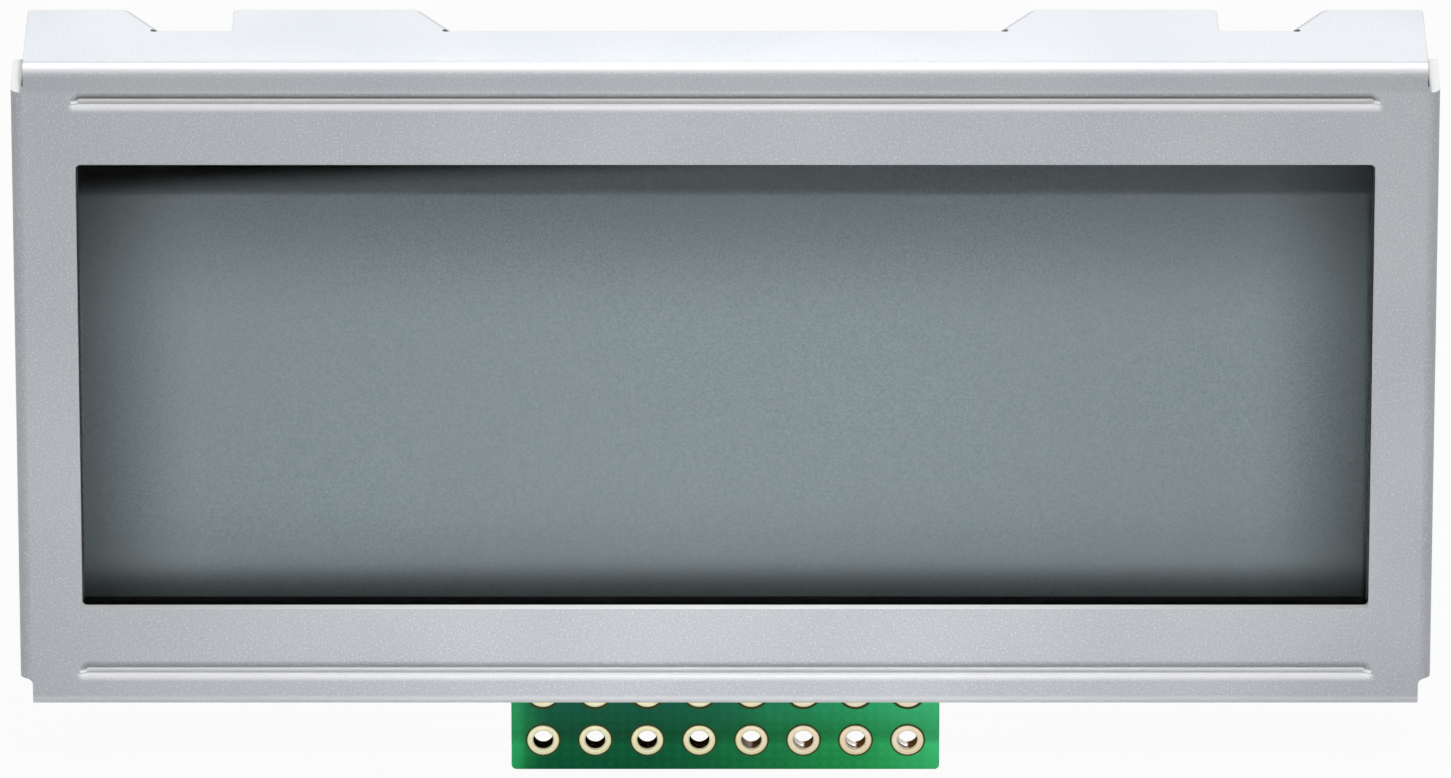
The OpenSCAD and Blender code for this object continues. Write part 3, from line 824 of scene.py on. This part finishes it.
def studio_floor():
    """A pale floor under the tongue, white to the camera, that keeps part of the module's shadow."""
    seen, mirrored = 0.94, 0.40
    bm = bmesh.new()
    bmesh.ops.create_circle(bm, cap_ends=True, radius=1.6, segments=64,
                            matrix=Matrix.Translation((0, 0, cad_box[0].z - 0.01 * MM)))
    mesh = bpy.data.meshes.new("studio_floor")
    bm.to_mesh(mesh)
    bm.free()
    add_object("studio_floor", mesh)
    material = bpy.data.materials.new("pale_floor")
    n = Nodes(material)
    camera, sent_on = n.rays()
    paper = n.add("ShaderNodeBsdfDiffuse", {}, {"Color": (0.80, 0.80, 0.80)})
    white = n.add("ShaderNodeEmission", {}, {"Color": (1, 1, 1), "Strength": 1.0})
    share = (camera * seen + sent_on * mirrored).smaller(seen)
    both = n.add("ShaderNodeMixShader", {}, {0: share, 1: paper, 2: white})
    n.add("ShaderNodeOutputMaterial", {}, {"Surface": both})
    mesh.materials.append(material)


def studio_world():
    """White to the camera and in reflections, and a plain soft fill for everything else."""
    fill = 0.06
    world = bpy.data.worlds.new("studio_world")
    bpy.context.scene.world = world
    n = Nodes(world)
    camera, sent_on = n.rays()
    strength = fill + (camera + sent_on).smaller(1) * (1 - fill)
    sky = n.add("ShaderNodeBackground", {}, {"Color": (1, 1, 1), "Strength": strength})
    n.add("ShaderNodeOutputWorld", {}, {"Surface": sky})


def lamp(name, place, size, level, gloss=True):
    """A square soft lamp turned to the origin. Its level is what a white card there would show."""
    data = bpy.data.lights.new(name, "AREA")
    data.shape = "SQUARE"
    data.size = size
    way = -Vector(place)
    data.energy = level * (math.pi * way.length) ** 2
    obj = add_object(name, data)
    obj.matrix_world = Matrix.Translation(place) @ way.to_track_quat("-Z", "Y").to_matrix().to_4x4()
    obj.visible_glossy = gloss


def pool_lamp(place, reach, level):
    """A spot that lights the floor in front of the module, in a pool with a soft edge."""
    data = bpy.data.lights.new("pool_lamp", "SPOT")
    height = place.z - cad_box[0].z
    data.spot_size = 2 * math.atan(reach / height)
    data.spot_blend = 1
    data.shadow_soft_size = 0.01
    data.energy = level * (2 * math.pi * height) ** 2
    add_object("pool_lamp", data).location = place


def studio_lamps():
    """A small key lamp from the front, wide lamps above and behind, and the pool on the floor."""
    up, reach = math.radians(41.5), 0.60
    lamp("key_lamp", (0.06, -reach * math.cos(up), reach * math.sin(up)), 0.035, 0.36, gloss=False)
    lamp("top_lamp", (0.0, -0.02, 0.47), 0.48, 0.46)
    lamp("rim_lamp", (0.0, 0.42, 0.36), 0.30, 0.205)
    pool_lamp(Vector((0, -0.038, 0.40)), 0.048, 1.7)


def photo_camera():
    """The photograph's view: straight on from the left and right, and a little from above."""
    rise, reach = math.radians(22.465), 0.8
    aim = Vector((0.006, 0, -0.047)) * MM
    data = bpy.data.cameras.new("photo_camera")
    data.sensor_fit = "HORIZONTAL"
    data.sensor_width = 36
    data.lens = 412.7
    data.clip_start = 0.05
    camera = add_object("photo_camera", data)
    camera.location = aim + Vector((0, -math.cos(rise), math.sin(rise))) * reach
    camera.rotation_euler = (math.pi / 2 - rise, 0, 0)
    bpy.context.scene.camera = camera


bpy.context.scene.view_settings.view_transform = "Standard"
# Light crosses the film and both plates of the cell on its way to the reflector, and again on its way back
bpy.context.scene.cycles.transparent_max_bounces = 24
bpy.context.scene.cycles.max_bounces = 5
photo_camera()
studio_floor()
studio_world()
studio_lamps()

gold = gold_plating()
tin = bright_tin()
resin = driver_resin()
glaze = resistor_glaze()
ceramic = capacitor_ceramic()
dress(satin_plating(), "bezel")
dress(window_film(), "front_polariser")
dress(cell_glass(), "front_glass", "rear_glass")
dress(silver_reflector(), "rear_polariser")
dress(seal_resin(), "cell_seal", "fill_port_plug")
dress(contact_rubber(), "upper_contact_strip", "lower_contact_strip")
dress(holder_plastic(), "strip_holder")
dress(gold, "contact_fingers", "header_rings")
dress(solder_mask(), "board")
dress(resin, "driver_drops")
dress(glaze, "chip_resistors")
dress(ceramic, "chip_capacitors")
dress(tin, "chip_end_caps", "solder_fillets")

hole_rings(gold)
hole_barrels(barrel_plating())
vias = board_tracks(masked_copper())
via_rings(gold, vias)
silk_lines(silk_ink())
resin_drops(resin)
chip_bodies("resistor_bodies", RESISTORS, RESISTOR_H, glaze, "chip_resistors")
chip_bodies("capacitor_bodies", CAPACITORS, CAPACITOR_H, ceramic, "chip_capacitors")
chip_caps(tin)
solder_beads(tin)
